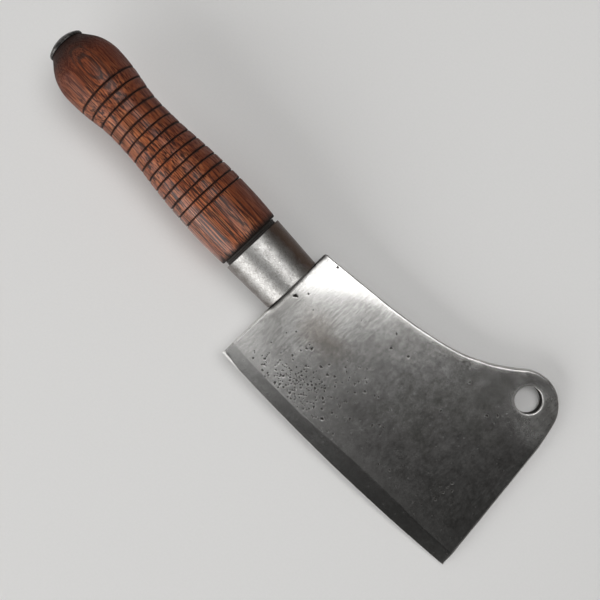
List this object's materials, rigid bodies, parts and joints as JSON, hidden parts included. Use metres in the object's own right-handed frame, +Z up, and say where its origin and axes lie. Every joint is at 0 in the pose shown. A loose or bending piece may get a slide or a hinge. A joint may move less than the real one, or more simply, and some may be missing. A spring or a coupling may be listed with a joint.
{
  "type": "meat cleaver",
  "caption": "Short heavy cleaver with a lobed hanging hole, a double bevel, a steel ferrule and a turned, grooved wooden handle.",
  "frame": {"origin": "bottom centre of the box that the tool fills as it lies flat on a board", "axes": "+X from the handle to the blade's toe, +Y from the cutting edge to the spine, +Z up"},
  "size_m": [0.2886, 0.1, 0.0418],
  "materials": {
    "blade_steel": "old ground steel, patinated and pitted",
    "ferrule_steel": "brushed along the handle",
    "black_leather": "blackened and compressed",
    "handle_wood": "open-pore hardwood, waxed, charred at both ends",
    "dark_steel": "forge-blackened"
  },
  "bodies": {
    "root": {"blade": "blade_steel", "ferrule": "ferrule_steel", "neck_washer_front": "black_leather", "neck_washer_rear": "black_leather", "handle": "handle_wood", "butt_cap": "dark_steel"}
  },
  "joints": []
}
